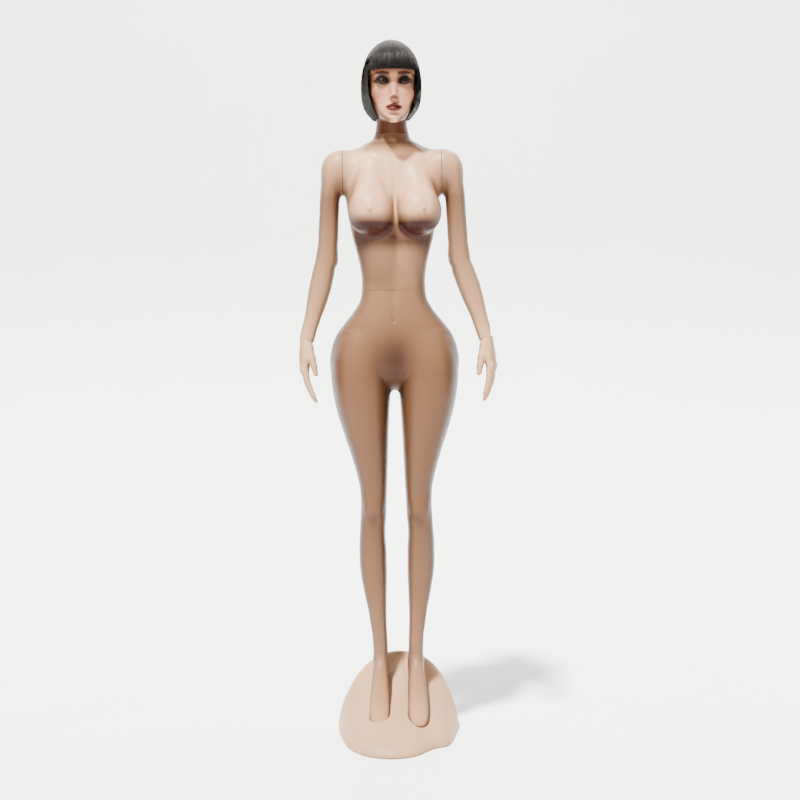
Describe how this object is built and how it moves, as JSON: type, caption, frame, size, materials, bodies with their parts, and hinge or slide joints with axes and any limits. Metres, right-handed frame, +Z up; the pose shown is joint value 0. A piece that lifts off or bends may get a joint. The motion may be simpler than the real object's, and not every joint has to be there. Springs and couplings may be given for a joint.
{
  "type": "full body mannequin",
  "caption": "Full-body display mannequin standing in a heel pose on a moulded base, with turning head, swinging arms, turning hands and a lift-off wig.",
  "frame": {"origin": "on the floor, under the centre of the whole figure's box", "axes": "+Z up, the figure faces -Y, its own left side is at +X"},
  "size_m": [0.5058, 0.3781, 1.8],
  "materials": {
    "skin_paint": "satin flesh-tone paint on moulded fibreglass",
    "base_paint": "satin paint, a little paler than the body",
    "hair": "black synthetic hair with a soft sheen",
    "lash": "black lash fibre",
    "wig_net": "dark stretch net",
    "nylon": "natural moulded nylon",
    "steel": "plain turned steel",
    "pad_rubber": "black rubber"
  },
  "bodies": {
    "stand": {"base_shell": "base_paint", "base_pad_front_left": "pad_rubber", "base_pad_front_right": "pad_rubber", "base_pad_rear_left": "pad_rubber", "base_pad_rear_right": "pad_rubber", "foot_insert_left": "steel", "foot_insert_right": "steel", "foot_washer_left": "steel", "foot_washer_right": "steel", "foot_bolt_left": "steel", "foot_bolt_right": "steel", "lower_body_shell": "skin_paint", "waist_socket": "nylon"},
    "torso": {"torso_shell": "skin_paint", "waist_peg": "nylon", "neck_socket": "nylon", "shoulder_socket_left": "nylon", "shoulder_socket_right": "nylon"},
    "arm_left": {"arm_shell_left": "skin_paint", "arm_plug_left": "nylon", "shoulder_swivel_left": "steel", "wrist_socket_left": "nylon"},
    "arm_right": {"arm_shell_right": "skin_paint", "arm_plug_right": "nylon", "shoulder_swivel_right": "steel", "wrist_socket_right": "nylon"},
    "hand_left": {"hand_left": "skin_paint", "hand_plug_left": "nylon", "wrist_swivel_left": "steel"},
    "hand_right": {"hand_right": "skin_paint", "hand_plug_right": "nylon", "wrist_swivel_right": "steel"},
    "head": {"head_shell": "skin_paint", "neck_plug": "nylon", "neck_swivel": "steel", "eyelashes_left": "lash", "eyelashes_right": "lash"},
    "wig": {"wig_cap": "wig_net", "wig_hair": "hair"}
  },
  "joints": [
    {"name": "torso_lift", "type": "slide", "parent": "stand", "child": "torso", "axis": [0, 0, 1], "range_m": [0, 0.06]},
    {"name": "shoulder_swing_left", "type": "hinge", "parent": "torso", "child": "arm_left", "pos_m": [0.1176, 0.0298, 1.473], "axis": [-1, 0, 0], "range_deg": [-40, 90]},
    {"name": "shoulder_swing_right", "type": "hinge", "parent": "torso", "child": "arm_right", "pos_m": [-0.1344, 0.0298, 1.473], "axis": [-1, 0, 0], "range_deg": [-40, 90]},
    {"name": "hand_turn_left", "type": "hinge", "parent": "arm_left", "child": "hand_left", "pos_m": [0.2271, -0.0182, 1.04], "axis": [-0.2947, 0.2171, 0.9306], "range_deg": [-70, 70]},
    {"name": "hand_turn_right", "type": "hinge", "parent": "arm_right", "child": "hand_right", "pos_m": [-0.2329, -0.0142, 1.04], "axis": [0.2417, 0.2033, 0.9488], "range_deg": [-70, 70]},
    {"name": "head_turn", "type": "hinge", "parent": "torso", "child": "head", "pos_m": [-0.0084, 0.0248, 1.56], "axis": [0, 0, 1], "range_deg": [-70, 70]},
    {"name": "wig_lift", "type": "slide", "parent": "head", "child": "wig", "axis": [0, 0, 1], "range_m": [0, 0.24]}
  ]
}
